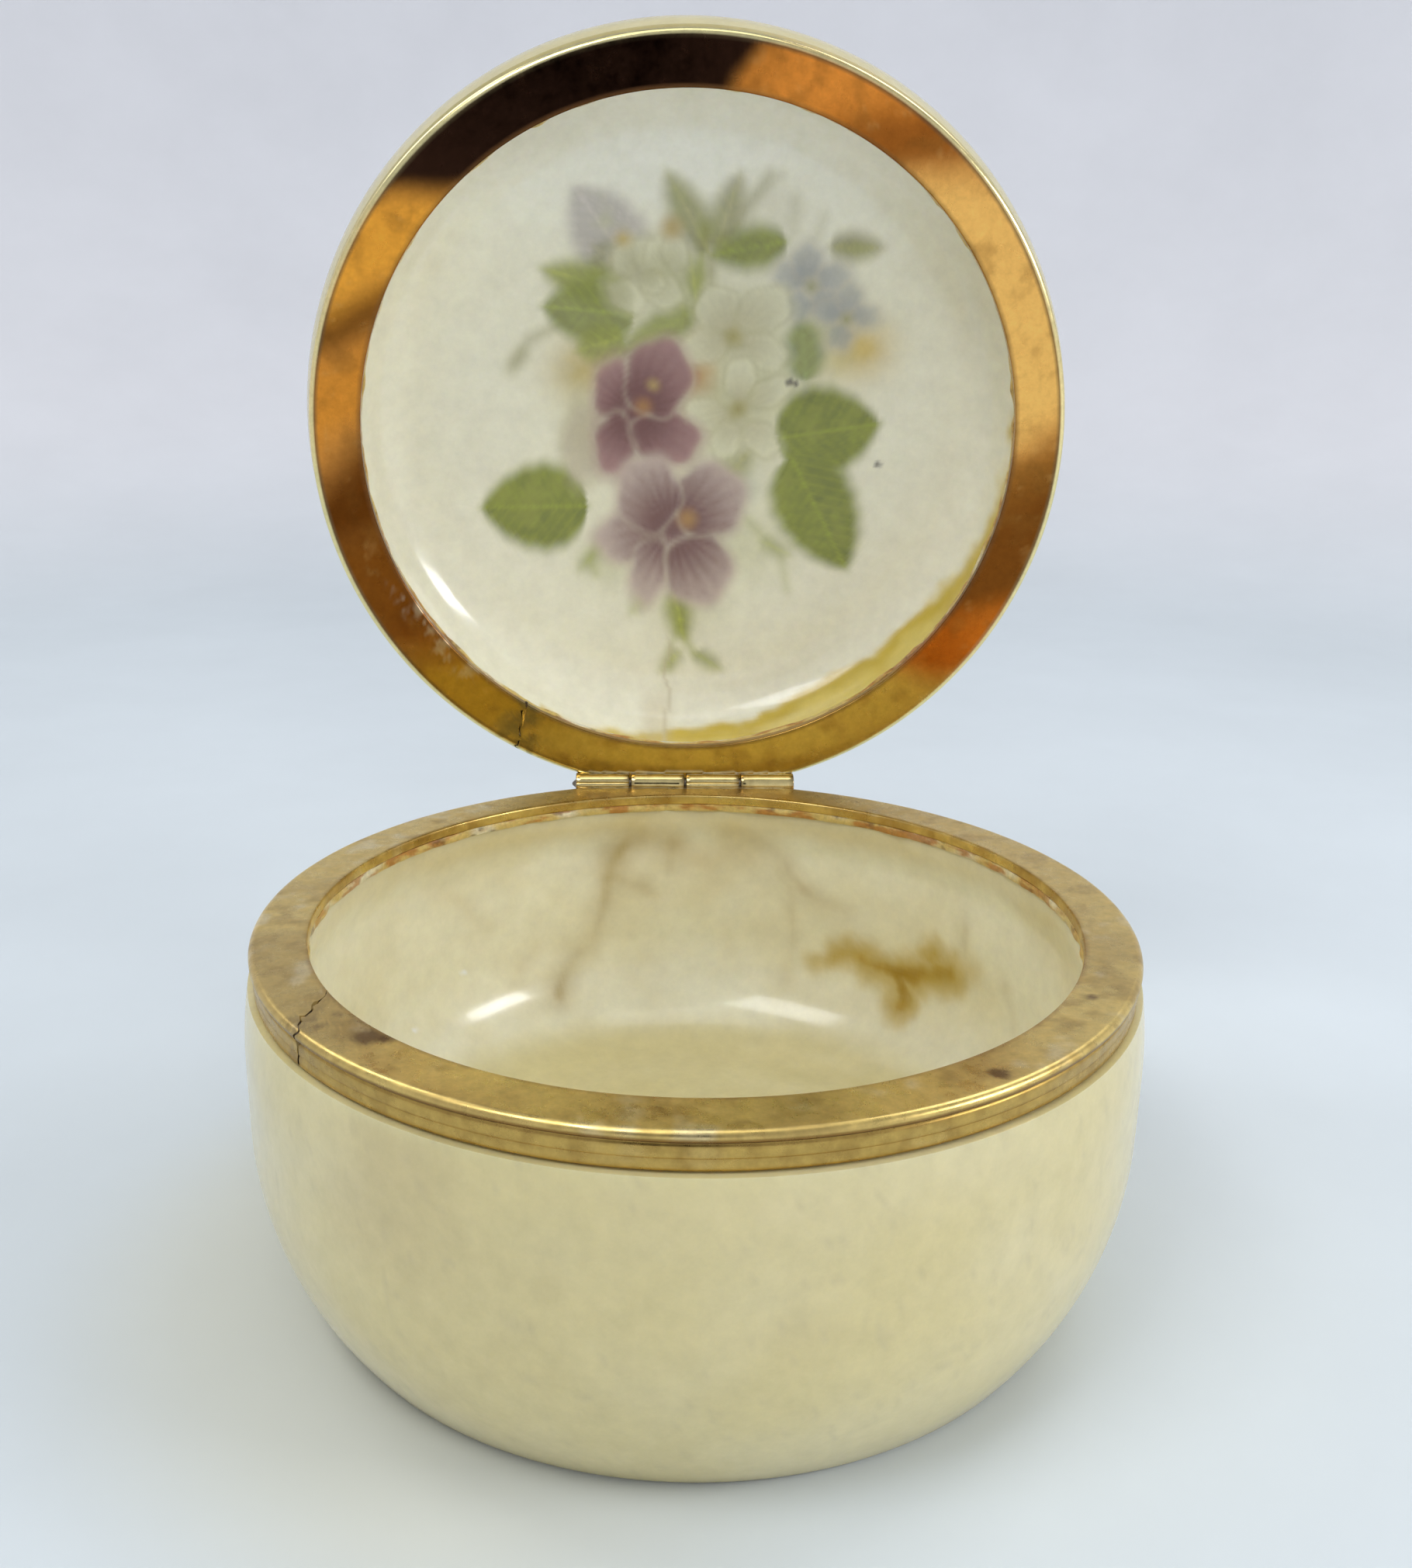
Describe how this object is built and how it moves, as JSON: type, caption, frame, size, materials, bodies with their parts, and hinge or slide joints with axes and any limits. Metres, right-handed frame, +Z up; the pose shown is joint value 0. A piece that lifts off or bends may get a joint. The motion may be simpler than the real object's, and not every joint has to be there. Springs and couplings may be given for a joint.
{
  "type": "hinged alabaster trinket box",
  "caption": "Round turned alabaster trinket box with a shallow domed lid, brass rims, a soldered knuckle hinge at the back and a floral print on the lid.",
  "frame": {"origin": "centre of the bowl's flat underside", "axes": "+Z up, square to the underside; +Y towards the hinge at the back; +X to the right seen from the front"},
  "size_m": [0.1032, 0.1179, 0.1433],
  "materials": {
    "alabaster_bowl": "polished, waxed, faintly veined",
    "alabaster_lid": "polished, translucent",
    "floral_print": "clear-varnished transfer print",
    "cement": "aged, rust-stained bedding",
    "bowl_brass": "dull, spotted with tarnish",
    "lid_brass": "polished, warm tarnish",
    "hinge_brass": "polished tube",
    "solder": "dark brazed joint",
    "pin_steel": "dark wire"
  },
  "bodies": {
    "bowl": {"alabaster_bowl": "alabaster_bowl", "bowl_cement": "cement", "bowl_collar": "bowl_brass", "bowl_collar_seam": "solder", "bowl_knuckle_1": "hinge_brass", "bowl_knuckle_3": "hinge_brass", "bowl_hinge_solder_1": "solder", "bowl_hinge_solder_3": "solder", "hinge_pin": "pin_steel"},
    "lid": {"alabaster_lid": "alabaster_lid", "lid_cement": "cement", "lid_collar": "lid_brass", "lid_collar_seam": "solder", "lid_knuckle_2": "hinge_brass", "lid_knuckle_4": "hinge_brass", "lid_hinge_solder_2": "solder", "lid_hinge_solder_4": "solder", "floral_transfer": "floral_print"}
  },
  "joints": [
    {"name": "lid_hinge", "type": "hinge", "parent": "bowl", "child": "lid", "pos_m": [0, 0.049, 0.0423], "axis": [1, 0, 0], "range_deg": [0, 84]}
  ]
}
